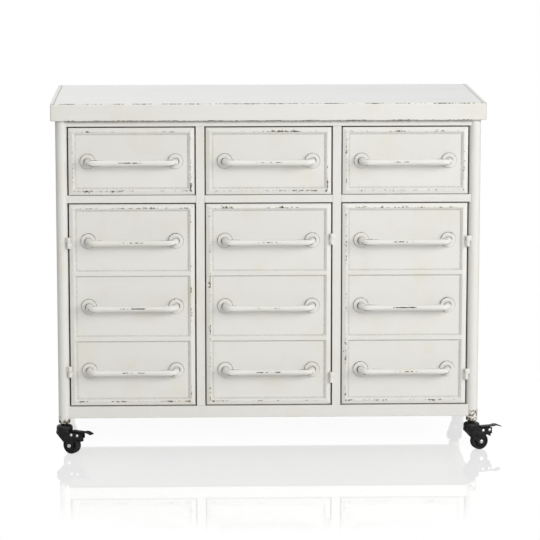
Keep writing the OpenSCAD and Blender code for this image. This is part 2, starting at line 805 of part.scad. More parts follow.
// Brake pedal: bar and arched pad above the fork, an ear on the rivet, and a shoe that swings to the tread
module pedal(k) {
    w = 2 * (plate_in - pedal_gap);
    top = rivet_z + 9;
    low = top - pedal_t;
    root = head_d / 2 + 2;
    ear = rivet_d / 2 + 2.5;
    p = pedal_rivet;
    color(black) caster(k) translate([0, w / 2, 0]) rotate([90, 0, 0]) difference() {
        union() {
            linear_extrude(height = w)
                polygon([[root, low], [root, top], [p + 10, top], [p + 16, top + 1.5], [p + 22, top + 1.5],
                         [p + 28, top - 0.5], [p + 34, top - 4], [p + 33, top - 5.2],
                         [p + 27, top - 0.5 - pedal_t], [p + 22, top + 1 - pedal_t],
                         [p + 17, top + 1 - pedal_t], [p + 11, low], [p + ear - 0.5, low],
                         [p + ear - 0.5, rivet_z], [p + 5.5, rivet_z - 15.5], [p + 3.5, rivet_z - 16],
                         [p - 3, rivet_z - 1], [p - ear + 0.5, low]]);
            translate([p, rivet_z, 0]) cylinder(h = w, r = ear);
        }
        translate([p, rivet_z, -past]) cylinder(h = w + 2 * past, d = rivet_d + 2 * run_clear);
    }
}

top_panel();
top_edge_strips();
post(-1, -1);  // left_front_post
post(1, -1);  // right_front_post
post(-1, 1);  // left_rear_post
post(1, 1);  // right_rear_post
front_top_rail();
front_middle_rail();
front_bottom_rail();
front_dividers();
side_rails();
rear_rails();
side_panel(-1);  // left_side_panel
side_panel(1);  // right_side_panel
back_panel();
bottom_panel();
drawer_deck();
partitions();
shelves();
shelf_ledges();
drawer_rails();
magnetic_catches();
frame_knuckles();
caster_stems();
drawer_front(0);  // left_drawer_front
drawer_tray(0);  // left_drawer_tray
drawer_handle(0);  // left_drawer_handle
drawer_front(1);  // middle_drawer_front
drawer_tray(1);  // middle_drawer_tray
drawer_handle(1);  // middle_drawer_handle
drawer_front(2);  // right_drawer_front
drawer_tray(2);  // right_drawer_tray
drawer_handle(2);  // right_drawer_handle
door_skin(0);  // left_door_skin
door_lining(0);  // left_door_lining
door_handles(0);  // left_door_handles
door_knuckles(0);  // left_door_knuckles
door_skin(1);  // middle_door_skin
door_lining(1);  // middle_door_lining
door_handles(1);  // middle_door_handles
door_knuckles(1);  // middle_door_knuckles
door_skin(2);  // right_door_skin
door_lining(2);  // right_door_lining
door_handles(2);  // right_door_handles
door_knuckles(2);  // right_door_knuckles
fork(0);  // front_left_fork
fork_pins(0);  // front_left_pins
wheel(0);  // front_left_wheel
pedal(0);  // front_left_pedal
fork(1);  // front_right_fork
fork_pins(1);  // front_right_pins
wheel(1);  // front_right_wheel
pedal(1);  // front_right_pedal
fork(2);  // rear_left_fork
fork_pins(2);  // rear_left_pins
wheel(2);  // rear_left_wheel
fork(3);  // rear_right_fork
fork_pins(3);  // rear_right_pins
wheel(3);  // rear_right_wheel
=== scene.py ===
# White painted sheet-steel cabinet on four swivel casters: three drawers above three doors, in metres,
# with the front towards -Y. Each section below makes one piece or one group of like pieces.
import json
import math

import bmesh
import bpy
from mathutils import Matrix, Vector


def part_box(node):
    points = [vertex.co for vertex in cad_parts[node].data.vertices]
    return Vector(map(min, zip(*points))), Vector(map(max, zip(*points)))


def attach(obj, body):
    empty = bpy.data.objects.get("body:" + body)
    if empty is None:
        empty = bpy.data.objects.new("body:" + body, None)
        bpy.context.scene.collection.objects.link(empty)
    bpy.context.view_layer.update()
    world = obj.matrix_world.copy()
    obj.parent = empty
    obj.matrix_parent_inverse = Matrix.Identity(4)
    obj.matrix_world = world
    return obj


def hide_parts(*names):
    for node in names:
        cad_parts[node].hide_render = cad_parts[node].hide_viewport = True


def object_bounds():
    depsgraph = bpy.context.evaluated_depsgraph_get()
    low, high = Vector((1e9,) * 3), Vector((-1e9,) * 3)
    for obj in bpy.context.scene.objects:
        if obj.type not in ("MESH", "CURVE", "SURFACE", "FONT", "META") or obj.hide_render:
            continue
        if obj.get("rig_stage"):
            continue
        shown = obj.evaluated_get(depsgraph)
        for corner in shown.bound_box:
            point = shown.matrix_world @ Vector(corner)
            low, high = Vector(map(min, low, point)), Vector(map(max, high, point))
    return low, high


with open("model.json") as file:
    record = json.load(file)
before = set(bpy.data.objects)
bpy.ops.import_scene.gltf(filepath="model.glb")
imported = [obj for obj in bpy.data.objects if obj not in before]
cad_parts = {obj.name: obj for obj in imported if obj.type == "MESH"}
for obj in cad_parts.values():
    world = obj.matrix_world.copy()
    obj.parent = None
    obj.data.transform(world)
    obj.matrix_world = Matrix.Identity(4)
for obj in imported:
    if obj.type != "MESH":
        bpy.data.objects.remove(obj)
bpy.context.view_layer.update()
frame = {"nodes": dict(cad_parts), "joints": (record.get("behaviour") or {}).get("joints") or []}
nodes = frame["nodes"]


# Studio: a pale, slightly glossy floor that runs out to white, soft lamps in front, on the right and above.
# The camera stands 6.4 m away, a little left of the middle, and looks slightly down with a long lens.
CAMERA_PLACE = (-0.18725, -6.43196, 1.460)
CAMERA_YAW = 0.0306
CAMERA_PITCH = 0.1638
LENS_MM = 181.57


def colour(code):
    """Linear RGBA of an sRGB hex value such as "e4e4dc"."""
    parts = [int(code[i:i + 2], 16) / 255 for i in (0, 2, 4)]
    return tuple(c / 12.92 if c <= 0.04045 else ((c + 0.055) / 1.055) ** 2.4 for c in parts) + (1.0,)


def add(tree, kind, inputs=(), **settings):
    """Adds one node; inputs maps a socket's name or number to a value or to the socket that feeds it."""
    made = tree.nodes.new(kind)
    for name, value in settings.items():
        setattr(made, name, value)
    for name, value in dict(inputs).items():
        if isinstance(value, bpy.types.NodeSocket):
            tree.links.new(value, made.inputs[name])
        else:
            made.inputs[name].default_value = value
    return made


def new_material(name):
    """An empty node material with its output, as (material, tree, output)."""
    material = bpy.data.materials.new(name)
    material.use_nodes = True
    material.node_tree.nodes.clear()
    return material, material.node_tree, add(material.node_tree, "ShaderNodeOutputMaterial")


def blend(tree, share, first, second):
    """The socket with first and second mixed: all first where share is 0, all second where it is 1."""
    inputs = {"Factor": share, "A": first, "B": second}
    return add(tree, "ShaderNodeMix", inputs, data_type="RGBA").outputs["Result"]


forward = Vector((math.sin(CAMERA_YAW) * math.cos(CAMERA_PITCH),
                  math.cos(CAMERA_YAW) * math.cos(CAMERA_PITCH), -math.sin(CAMERA_PITCH)))
right = Vector((math.cos(CAMERA_YAW), -math.sin(CAMERA_YAW), 0))
up = right.cross(forward)
camera_data = bpy.data.cameras.new("camera")
camera = bpy.data.objects.new("camera", camera_data)
bpy.context.scene.collection.objects.link(camera)
camera_data.lens = LENS_MM
camera_data.sensor_width = 36
camera.matrix_world = Matrix.Translation(CAMERA_PLACE) @ Matrix((right, up, -forward)).transposed().to_4x4()
bpy.context.scene.camera = camera
bpy.context.scene.view_settings.view_transform = "Standard"


def soft_lamp(name, place, aim, size, power):
    """A square area lamp of size metres and power watts that stands at place and faces aim."""
    data = bpy.data.lights.new(name, "AREA")
    data.size = size
    data.energy = power
    lamp = bpy.data.objects.new(name, data)
    bpy.context.scene.collection.objects.link(lamp)
    lamp.location = place
    lamp.rotation_euler = (Vector(aim) - Vector(place)).to_track_quat("-Z", "Y").to_euler()


FRONT_MIDDLE = (0, 0, 0.45)
soft_lamp("front_lamp", (1.25, -7.0, 3.2), FRONT_MIDDLE, 1.9, 171)
soft_lamp("right_lamp", (3.8, -3.5, 1.95), FRONT_MIDDLE, 2.8, 120)
soft_lamp("top_lamp", (-1.1, 0.0, 4.2), (0, 0, 0.6), 2.6, 66)

# The camera and mirrors see plain white all round, and surfaces get a soft fill of 0.28 from it
FILL = 0.28
world = bpy.data.worlds.new("studio")
bpy.context.scene.world = world
world.use_nodes = True
world.node_tree.nodes.clear()
ray = add(world.node_tree, "ShaderNodeLightPath")
seen = add(world.node_tree, "ShaderNodeMath", {0: ray.outputs["Is Camera Ray"],
                                               1: ray.outputs["Is Glossy Ray"]},
           operation="ADD", use_clamp=True)
level = add(world.node_tree, "ShaderNodeMapRange", {"Value": seen.outputs[0], "To Min": FILL, "To Max": 1.0})
sky = add(world.node_tree, "ShaderNodeBackground", {"Color": (1, 1, 1, 1), "Strength": level.outputs[0]})
add(world.node_tree, "ShaderNodeOutputWorld", {"Surface": sky.outputs[0]})

# White studio floor, polished: the camera sees a white of its own, a pale shadow and a faint mirror image of
# the cabinet, and further out plain white. Other rays see pale matt grey. The three shares of the near floor
# add up to about 1 where it is lit.
OWN_WHITE = 0.69
SHADED = 0.12
MIRRORED = 0.25
NEAR_FLOOR = 0.78
FAR_FLOOR = 0.98
bpy.ops.object.select_all(action="DESELECT")
bpy.ops.mesh.primitive_plane_add(size=80, location=(0, 0, 0))
floor = bpy.context.object
floor.name = "floor"
polished_floor, tree, output = new_material("polished_white_floor")
ray = add(tree, "ShaderNodeLightPath")
own_white = add(tree, "ShaderNodeEmission", {"Color": (1, 1, 1, 1), "Strength": OWN_WHITE})
shaded = add(tree, "ShaderNodeBsdfDiffuse", {"Color": (SHADED, SHADED, SHADED, 1)})
mirrored = add(tree, "ShaderNodeBsdfGlossy", {"Color": (MIRRORED, MIRRORED, MIRRORED, 1), "Roughness": 0.03})
lit = add(tree, "ShaderNodeAddShader", {0: own_white.outputs[0], 1: shaded.outputs[0]})
near = add(tree, "ShaderNodeAddShader", {0: lit.outputs[0], 1: mirrored.outputs[0]})
white = add(tree, "ShaderNodeEmission", {"Color": (1, 1, 1, 1), "Strength": 1.0})
spot = add(tree, "ShaderNodeTexCoord")
reach = add(tree, "ShaderNodeVectorMath", {0: spot.outputs["Object"]}, operation="LENGTH")
far = add(tree, "ShaderNodeMapRange", {"Value": reach.outputs["Value"], "From Min": NEAR_FLOOR,
                                       "From Max": FAR_FLOOR}, interpolation_type="SMOOTHSTEP")
seen = add(tree, "ShaderNodeMixShader", {0: far.outputs[0], 1: near.outputs[0], 2: white.outputs[0]})
pale = add(tree, "ShaderNodeBsdfDiffuse", {"Color": colour("e0e0e0")})
both = add(tree, "ShaderNodeMixShader", {0: ray.outputs["Is Camera Ray"], 1: pale.outputs[0],
                                         2: seen.outputs[0]})
tree.links.new(both.outputs[0], output.inputs["Surface"])
floor.data.materials.append(polished_floor)
floor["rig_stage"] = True


# Posts: four 26.9 mm steel tubes that carry the top and stand on the casters. Their lower ends are rounded in
# and closed, and the enamel is rubbed through around those ends.
POST_ROUND = 0.0045
# Height of each ring above a post's end: up to the second one the tube is knocked, from the third one clean
POST_RINGS = (0.012, 0.025, 0.05)
# Side and depth of each corner, 1 towards +X and +Y
corner_names = {"left_front": (-1, -1), "right_front": (1, -1), "left_rear": (-1, 1), "right_rear": (1, 1)}


def worn_enamel(name, body, warm, chip_level):
    """Old off-white enamel on sheet steel. It reads two marks of the mesh: wear, 1 on edges that hands and
    feet rub, and a second mark that is 1 where shade is painted into gaps, creases and corners and where dirt
    fills joints. Warm patches are 100 mm across, chips 2 to 8 mm and the unevenness of the brushed-on film
    2 mm. They give the eye soft mottling, dark dashes along edges, painted shade and a satin gloss."""
    material, tree, output = new_material(name)
    place = add(tree, "ShaderNodeTexCoord").outputs["Object"]
    wear = add(tree, "ShaderNodeAttribute", attribute_name="wear").outputs["Fac"]
    dirt_and_shade = add(tree, "ShaderNodeAttribute", attribute_name="dirt_and_shade").outputs["Fac"]
    patches = add(tree, "ShaderNodeTexNoise", {"Vector": place, "Scale": 1 / 0.10, "Detail": 3.0,
                                               "Roughness": 0.6})
    cluster = add(tree, "ShaderNodeTexNoise", {"Vector": place, "Scale": 1 / 0.055, "Detail": 2.0})
    flakes = add(tree, "ShaderNodeTexNoise", {"Vector": place, "Scale": 1 / 0.0055, "Detail": 5.0,
                                              "Roughness": 0.62})
    film = add(tree, "ShaderNodeTexNoise", {"Vector": place, "Scale": 1 / 0.002, "Detail": 2.0})
    sag = add(tree, "ShaderNodeTexNoise", {"Vector": place, "Scale": 1 / 0.12, "Detail": 1.0})

    warmth = add(tree, "ShaderNodeMapRange", {"Value": patches.outputs["Fac"], "From Min": 0.5,
                                              "From Max": 0.75, "To Max": 0.6})
    paint = blend(tree, warmth.outputs[0], colour(body), colour(warm))
    patchy = add(tree, "ShaderNodeMapRange", {"Value": flakes.outputs["Fac"], "From Min": 0.35,
                                              "From Max": 0.6, "To Min": 0.45})
    # Painted shade: the second mark darkens the paint towards 4a483f in gaps, creases, under the top's fold
    # and round the rosettes; beside the edging strips it is real dirt in the joints
    shade_and_grime_amount = add(tree, "ShaderNodeMath", {0: dirt_and_shade, 1: patchy.outputs[0]}, operation="MULTIPLY")
    shaded_and_grimy = blend(tree, shade_and_grime_amount.outputs[0], paint, colour("4a483f"))

    # Where wear is 1 about a third of the edge is chipped, and 2 mm away from it nearly nothing
    noise = add(tree, "ShaderNodeMath", {0: cluster.outputs["Fac"], 1: 0.8, 2: flakes.outputs["Fac"]},
                operation="MULTIPLY_ADD")
    drive = add(tree, "ShaderNodeMath", {0: wear, 1: 1.3, 2: noise.outputs[0]}, operation="MULTIPLY_ADD")
    chips = add(tree, "ShaderNodeMapRange", {"Value": drive.outputs[0], "From Min": chip_level,
                                             "From Max": chip_level + 0.05})
    halo = add(tree, "ShaderNodeMapRange", {"Value": drive.outputs[0], "From Min": chip_level - 0.07,
                                            "From Max": chip_level, "To Max": 0.5})
    primed = blend(tree, halo.outputs[0], shaded_and_grimy, colour("b3a98c"))
    steel = blend(tree, patches.outputs["Fac"], colour("2f302c"), colour("5d5140"))
    final = blend(tree, chips.outputs[0], primed, steel)
    rough = add(tree, "ShaderNodeMapRange", {"Value": chips.outputs[0], "To Min": 0.42, "To Max": 0.7})

    # The sheet itself is slightly wavy, the film is finely uneven, and a chip is 0.15 mm deep
    wavy = add(tree, "ShaderNodeBump", {"Height": sag.outputs["Fac"], "Distance": 0.0012, "Strength": 0.5})
    uneven = add(tree, "ShaderNodeBump", {"Height": film.outputs["Fac"], "Distance": 0.00008, "Strength": 0.5,
                                          "Normal": wavy.outputs[0]})
    pit = add(tree, "ShaderNodeBump", {"Height": chips.outputs[0], "Distance": 0.00015, "Strength": 1.0,
                                       "Normal": uneven.outputs[0]}, invert=True)
    surface = add(tree, "ShaderNodeBsdfPrincipled", {
        "Base Color": final, "Roughness": rough.outputs[0], "Normal": pit.outputs[0],
        "IOR": 1.5, "Specular IOR Level": 0.4})
    tree.links.new(surface.outputs[0], output.inputs["Surface"])
    return material


outer_enamel = worn_enamel("worn_off_white_enamel", "e0dfda", "dbd7c6", 2.145)


def edit(piece):
    """Opens one piece in edit mode with nothing in it selected."""
    bpy.ops.object.select_all(action="DESELECT")
    bpy.context.view_layer.objects.active = piece
    piece.select_set(True)
    bpy.ops.object.mode_set(mode="EDIT")
    bpy.ops.mesh.select_all(action="DESELECT")


def pick(kind, rule):
    """In edit mode, selects just the VERT, EDGE or FACE elements that rule(middle, normal) accepts."""
    bpy.ops.mesh.select_mode(type=kind)
    bpy.ops.mesh.select_all(action="DESELECT")
    shape = bmesh.from_edit_mesh(bpy.context.object.data)
    if kind == "VERT":
        for v in shape.verts:
            v.select = bool(rule(v.co, v.normal))
    elif kind == "EDGE":
        for e in shape.edges:
            ends = [v.co for v in e.verts]
            e.select = bool(rule((ends[0] + ends[1]) / 2, (ends[1] - ends[0]).normalized()))
    else:
        for f in shape.faces:
            f.select = bool(rule(f.calc_center_median(), f.normal))
    shape.select_flush_mode()
    bmesh.update_edit_mesh(bpy.context.object.data)


def close_edit(smooth_deg=35, is_open=False):
    """Leaves edit mode with doubles merged, turns the faces of a closed piece outwards and smooths all but
    sharp edges. A sheet that is still open keeps the sides that its block had."""
    bpy.ops.mesh.select_all(action="SELECT")
    bpy.ops.mesh.remove_doubles(threshold=1e-6)
    if not is_open:
        bpy.ops.mesh.normals_make_consistent(inside=False)
    bpy.ops.object.mode_set(mode="OBJECT")
    bpy.ops.object.shade_smooth_by_angle(angle=math.radians(smooth_deg))


def modify(piece, kind, smooth_deg=35, **settings):
    """Adds one modifier with its settings and applies it."""
    bpy.ops.object.select_all(action="DESELECT")
    bpy.context.view_layer.objects.active = piece
    piece.select_set(True)
    modifier = piece.modifiers.new(kind.lower(), kind)
    for name, value in settings.items():
        setattr(modifier, name, value)
    bpy.ops.object.modifier_apply(modifier=modifier.name)
    bpy.ops.object.shade_smooth_by_angle(angle=math.radians(smooth_deg))


def round_edges(piece, radius, over_deg=30, segments=3):
    """Rounds every edge that turns more than over_deg."""
    modify(piece, "BEVEL", width=radius, segments=segments, limit_method="ANGLE",
           angle_limit=math.radians(over_deg), harden_normals=False)


def turned(name, centre, axis, profile, sides=32, caps=(True, True)):
    """Builds a round piece ring by ring, as on a lathe. The profile lists (place along the axis, radius)."""
    lean = {"X": (0, math.pi / 2, 0), "Y": (math.pi / 2, 0, 0), "Z": (0, 0, 0)}[axis]
    way = {"X": Vector((1, 0, 0)), "Y": Vector((0, 1, 0)), "Z": Vector((0, 0, 1))}[axis]
    centre = Vector(centre)
    bpy.ops.object.select_all(action="DESELECT")
    at, radius = profile[0]
    bpy.ops.mesh.primitive_circle_add(vertices=sides, radius=radius, fill_type="NOTHING",
                                      location=centre + way * at, rotation=lean)
    piece = bpy.context.object
    piece.name = name
    bpy.ops.object.transform_apply(location=True, rotation=True, scale=True)
    edit(piece)
    bpy.ops.mesh.select_all(action="SELECT")
    if caps[0]:
        bpy.ops.mesh.edge_face_add()
        bpy.ops.mesh.select_mode(type="EDGE")
    for next_at, next_radius in profile[1:]:
        bpy.ops.mesh.extrude_edges_move(TRANSFORM_OT_translate={"value": way * (next_at - at)})
        grow = next_radius / radius
        if abs(grow - 1) > 1e-9:
            bpy.ops.transform.resize(value=(grow, grow, grow), center_override=centre + way * next_at)
        at, radius = next_at, next_radius
    if caps[1]:
        bpy.ops.mesh.edge_face_add()
    close_edit()
    return piece


def mark(piece, name, rule):
    """Writes rule(place), limited to 0..1, as a named value on every vertex."""
    values = piece.data.attributes.get(name) or piece.data.attributes.new(name, "FLOAT", "POINT")
    values.data.foreach_set("value", [min(1.0, max(0.0, rule(v.co))) for v in piece.data.vertices])


def dress(piece, material, body, slot, *stands_for):
    """Gives a piece its finish and its body, and hides the CAD nodes that it stands for. The slot is not
    used.
    """
    piece.data.materials.clear()
    piece.data.materials.append(material)
    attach(piece, body)
    if stands_for:
        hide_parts(*stands_for)


for corner in corner_names:
    low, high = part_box(corner + "_post")
    radius = (high.x - low.x) / 2
    end = [(low.z + POST_ROUND * (1 - math.cos(a)), radius - POST_ROUND * (1 - math.sin(a)))
           for a in (0, 0.4, 0.8, 1.2, math.pi / 2)]
    post = turned(corner + "_post_tube", ((low.x + high.x) / 2, (low.y + high.y) / 2, 0), "Z",
                  end + [(low.z + h, radius) for h in POST_RINGS] + [(high.z, radius)], sides=40)
    mark(post, "wear", lambda p: max(1.0 - (p.z - low.z - POST_ROUND) / 0.02,
                                     0.88 - max(0.0, p.z - low.z - POST_RINGS[1]) / 0.04))
    dress(post, outer_enamel, "cabinet", "paint", corner + "_post")


# Frame rails: rectangular steel tube, 20 mm deep, welded between the posts and the two dividers and painted
# with them. Drawn as full bars to the posts' middle, where the tube hides their ends.
RAIL_ROUND = 0.0012
# Edge loops this far in keep a bar's wear beside its corners, on the sides shorter than SHORT_SIDE
BAR_LOOP = 0.005
SHORT_SIDE = 0.1
BAR_WEAR_REACH = 0.004
# Painted shade in the gaps beside the fronts starts just behind a bar's front face and leaves its upper face
# unshaded
SHADE_START = 0.0003
SHADE_RISE = 0.0012
UNSHADED_UPPER = 0.003
DIVIDER_W = 0.020


def block(name, low, high):
    """A cube stretched between two corners, with its place in its mesh."""
    low, high = Vector(low), Vector(high)
    bpy.ops.object.select_all(action="DESELECT")
    bpy.ops.mesh.primitive_cube_add(size=1, location=(low + high) / 2, scale=high - low)
    piece = bpy.context.object
    piece.name = name
    bpy.ops.object.transform_apply(location=True, rotation=True, scale=True)
    return piece


def cut_across(axis, places):
    """In edit mode, cuts the whole mesh by planes square to one axis."""
    way = {"X": (1, 0, 0), "Y": (0, 1, 0), "Z": (0, 0, 1)}[axis]
    for at in places:
        bpy.ops.mesh.select_all(action="SELECT")
        bpy.ops.mesh.bisect(plane_co=Vector(way) * at, plane_no=way)


def join(pieces, name):
    """Joins pieces into the first one."""
    bpy.ops.object.select_all(action="DESELECT")
    for piece in pieces:
        piece.select_set(True)
    bpy.context.view_layer.objects.active = pieces[0]
    bpy.ops.object.join()
    pieces[0].name = name
    return pieces[0]


def edge_wear(low, high, reach, share):
    """A rule for mark(): share on the edges of the box from low to high, 0 at reach from them."""
    def rule(p):
        inside = sorted(min(abs(p[k] - low[k]), abs(p[k] - high[k])) for k in range(3))
        return share * (1 - math.hypot(inside[0], inside[1]) / reach)
    return rule


def gap_shade(p, front):
    """Painted shade in a gap: 0 on the face at y = front, 1 and more from 1.5 mm behind it."""
    return (p.y - front - SHADE_START) / SHADE_RISE


def bar(name, low, high, beside_gap=False):
    """One length of tube with its rolled corners, and edge loops that keep wear near the corners. Where it
    borders the fronts' gaps, painted shade darkens all but its front and its upper face."""
    piece = block(name, low, high)
    edit(piece)
    for k, axis in enumerate("XYZ"):
        if high[k] - low[k] < SHORT_SIDE:
            cut_across(axis, (low[k] + BAR_LOOP, high[k] - BAR_LOOP))
    close_edit()
    round_edges(piece, RAIL_ROUND)
    mark(piece, "wear", edge_wear(low, high, BAR_WEAR_REACH, 0.75))
    if beside_gap:
        # Painted shade on the faces inside the gaps beside the fronts
        mark(piece, "dirt_and_shade", lambda p: gap_shade(p, low[1]) if p.z < high[2] - UNSHADED_UPPER else 0)
    return piece


low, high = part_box("front_top_rail")
divider_low, divider_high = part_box("front_dividers")
post_low, post_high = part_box("right_rear_post")
post_x = (post_low.x + post_high.x) / 2
# A post's flat facets make its box a little shallower than wide, so its radius is taken from the width
post_y = post_low.y + (post_high.x - post_low.x) / 2
# Painted shade under the fold of the top, darkest at the fold and gone 8 mm below it
FOLD_SHADE_REACH = 0.008
fold_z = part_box("top_panel")[0].z
top_bar = bar("front_top_bar", (-post_x, low.y, low.z), (post_x, high.y, high.z))
edit(top_bar)
cut_across("Z", (fold_z - FOLD_SHADE_REACH, fold_z - FOLD_SHADE_REACH / 2))
close_edit()
# Painted shade in the gaps beside the bar and under the top's fold
mark(top_bar, "dirt_and_shade", lambda p: max(gap_shade(p, low.y), 0.9 - 0.9 * (fold_z - p.z) / FOLD_SHADE_REACH))
dress(top_bar, outer_enamel, "cabinet", "paint", "front_top_rail")
low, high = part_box("front_bottom_rail")
bottom_bar = bar("front_bottom_bar", (-post_x, low.y, low.z), (post_x, high.y, high.z), beside_gap=True)
dress(bottom_bar, outer_enamel, "cabinet", "paint", "front_bottom_rail")
inner = divider_high.x - DIVIDER_W
low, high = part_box("front_middle_rail")
lengths = [(-post_x, -divider_high.x), (-inner, inner), (divider_high.x, post_x)]
middle_bars = join([bar("length", (x0, low.y, low.z), (x1, high.y, high.z), beside_gap=True)
                    for x0, x1 in lengths], "front_middle_bars")
dress(middle_bars, outer_enamel, "cabinet", "paint", "front_middle_rail")
uprights = join([bar("upright", (x, divider_low.y, divider_low.z),
                     (x + DIVIDER_W, divider_high.y, divider_high.z), beside_gap=True)
                 for x in (-divider_high.x, inner)], "front_divider_bars")
dress(uprights, outer_enamel, "cabinet", "paint", "front_dividers")
low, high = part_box("rear_rails")
bottom_z = [end.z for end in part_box("front_bottom_rail")]
top_z = [end.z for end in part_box("front_top_rail")]
rear_bars = join([bar("rear", (-post_x, low.y, z0), (post_x, high.y, z1)) for z0, z1 in (bottom_z, top_z)],
                 "rear_bars")
dress(rear_bars, outer_enamel, "cabinet", "paint", "rear_rails")
low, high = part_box("side_rails")
side_bars = join([bar("side", (x, -post_y, z0), (x + 2 * (high.x - post_x), post_y, z1))
                  for x in (low.x, 2 * post_x - high.x) for z0, z1 in (bottom_z, top_z)], "side_bars")
dress(side_bars, outer_enamel, "cabinet", "paint", "side_rails")


# Outer sheets: side panels spot-welded behind the side rails and a back sheet, 1.2 mm steel, painted with the
# frame. They are flat and stay as the CAD made them. A weld bead joins their upright edges to the posts.
BEAD_R = 0.0012
# The bead runs this far in from its post's axis both ways, and its ends taper over BEAD_END
BEAD_IN = 0.0099
BEAD_END = 0.0005


def refinish(node, material):
    """Gives a CAD node that stays as it is a new finish."""
    for slot in nodes[node].material_slots:
        slot.material = material


for node in ("left_side_panel", "right_side_panel", "back_panel"):
    refinish(node, outer_enamel)

# The beads close the corner between each tube and the sheets, which is 0.7 mm wide
for corner, (side, depth) in corner_names.items():
    low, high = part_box(corner + "_post")
    line = ((low.x + high.x) / 2 - side * BEAD_IN, (low.y + high.y) / 2 - depth * BEAD_IN, 0)
    bead = turned(corner + "_weld_bead", line, "Z",
                  [(bottom_z[0] + BEAD_END, BEAD_R / 2), (bottom_z[0] + 2 * BEAD_END, BEAD_R),
                   (top_z[0], BEAD_R), (top_z[0] + BEAD_END, BEAD_R / 2)], sides=12)
    dress(bead, outer_enamel, "cabinet", "paint")


# Inner sheets: cupboard floor, deck, partitions, shelves and their ledges, 1.2 mm steel. Indoors the enamel
# is hardly worn, only a little greyer, with faint scuffs where things were pushed in and out.
inner_enamel, tree, output = new_material("inner_enamel")
place = add(tree, "ShaderNodeTexCoord").outputs["Object"]
long_way = add(tree, "ShaderNodeMapping", {"Vector": place, "Scale": (6.0, 1.0, 6.0)})
scuffs = add(tree, "ShaderNodeTexNoise", {"Vector": long_way.outputs[0], "Scale": 1 / 0.03, "Detail": 6.0,
                                          "Roughness": 0.7})
cloud = add(tree, "ShaderNodeTexNoise", {"Vector": place, "Scale": 1 / 0.09, "Detail": 3.0})
film = add(tree, "ShaderNodeTexNoise", {"Vector": place, "Scale": 1 / 0.002, "Detail": 2.0})
scuffed = add(tree, "ShaderNodeMapRange", {"Value": scuffs.outputs["Fac"], "From Min": 0.6, "From Max": 0.72,
                                           "To Max": 0.3})
base = blend(tree, cloud.outputs["Fac"], colour("dedfd8"), colour("d2d2c9"))
rubbed = blend(tree, scuffed.outputs[0], base, colour("a9a79c"))
gloss = add(tree, "ShaderNodeMapRange", {"Value": cloud.outputs["Fac"], "To Min": 0.4, "To Max": 0.55})
uneven = add(tree, "ShaderNodeBump", {"Height": film.outputs["Fac"], "Distance": 0.00008, "Strength": 0.5})
surface = add(tree, "ShaderNodeBsdfPrincipled", {"Base Color": rubbed, "IOR": 1.5,
                                                 "Roughness": gloss.outputs[0], "Normal": uneven.outputs[0]})
tree.links.new(surface.outputs[0], output.inputs["Surface"])
for node in ("bottom_panel", "drawer_deck", "partitions", "shelves", "shelf_ledges"):
    refinish(node, inner_enamel)


# Drawer rails: channel rails of zinc-plated 1.2 mm steel, spot-welded to the partitions and side panels.
# Plated sheet shows a dull grey gleam drawn out along the rail, with whitish clouds of old zinc.
def plated_steel(name, dark, light):
    """Drawn and plated steel, with streaks of 1.2 mm along Y and a bloom of 20 mm between two tones."""
    material, tree, output = new_material(name)
    place = add(tree, "ShaderNodeTexCoord").outputs["Object"]
    drawn = add(tree, "ShaderNodeMapping", {"Vector": place, "Scale": (1.0, 0.03, 1.0)})
    streaks = add(tree, "ShaderNodeTexNoise", {"Vector": drawn.outputs[0], "Scale": 1 / 0.0012,
                                               "Detail": 3.0})
    bloom = add(tree, "ShaderNodeTexNoise", {"Vector": place, "Scale": 1 / 0.02, "Detail": 4.0})
    shade = blend(tree, bloom.outputs["Fac"], colour(dark), colour(light))
    rough = add(tree, "ShaderNodeMapRange", {"Value": streaks.outputs["Fac"], "To Min": 0.32, "To Max": 0.55})
    grain = add(tree, "ShaderNodeBump", {"Height": streaks.outputs["Fac"], "Distance": 0.00003,
                                         "Strength": 0.6})
    surface = add(tree, "ShaderNodeBsdfPrincipled", {"Base Color": shade, "Metallic": 1.0,
                                                     "Roughness": rough.outputs[0],
                                                     "Normal": grain.outputs[0]})
    tree.links.new(surface.outputs[0], output.inputs["Surface"])
    return material


refinish("drawer_rails", plated_steel("zinc_plated_steel", "a3a7aa", "c6c8c9"))


# Magnetic catches: a black moulded case under the deck at each door's free side. Moulded plastic shows a fine
# sparkle texture of about 0.4 mm and no gloss.
catch_case, tree, output = new_material("black_moulded_plastic")
place = add(tree, "ShaderNodeTexCoord").outputs["Object"]
stipple = add(tree, "ShaderNodeTexNoise", {"Vector": place, "Scale": 1 / 0.0004, "Detail": 1.0})
tone = blend(tree, stipple.outputs["Fac"], colour("1c1c1d"), colour("2b2b2b"))
fine = add(tree, "ShaderNodeBump", {"Height": stipple.outputs["Fac"], "Distance": 0.00004, "Strength": 0.6})
surface = add(tree, "ShaderNodeBsdfPrincipled", {"Base Color": tone, "Roughness": 0.6,
                                                 "IOR": 1.5, "Normal": fine.outputs[0]})
tree.links.new(surface.outputs[0], output.inputs["Surface"])
refinish("magnetic_catches", catch_case)


# Top: one 2 mm steel sheet folded down 40 mm all round, with a hem turned in below and a shallow rebate for
# the edging strips. Its upper and lower front edges are the most chipped places of the cabinet.
TOP_SHEET = 0.002
TOP_ROUND = 0.0022
HEM = 0.007
STRIP_W = 0.009
# The rebate's step slopes by STEP, and the dirt beside it ends at JOINT_REACH
STEP = 0.0002
JOINT_REACH = 0.0011
# Wear ends this far from an edge
WEAR_REACH = 0.006
pan_low, pan_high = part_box("top_panel")
strip_low, strip_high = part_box("top_edge_strips")
strip_t = strip_high.x - pan_high.x
rebate_x = strip_high.x - STRIP_W
top = block("top_pan", pan_low, pan_high)
edit(top)
pick("FACE", lambda c, n: n.z < -0.9)
bpy.ops.mesh.inset(thickness=HEM)
bpy.ops.mesh.delete(type="FACE")
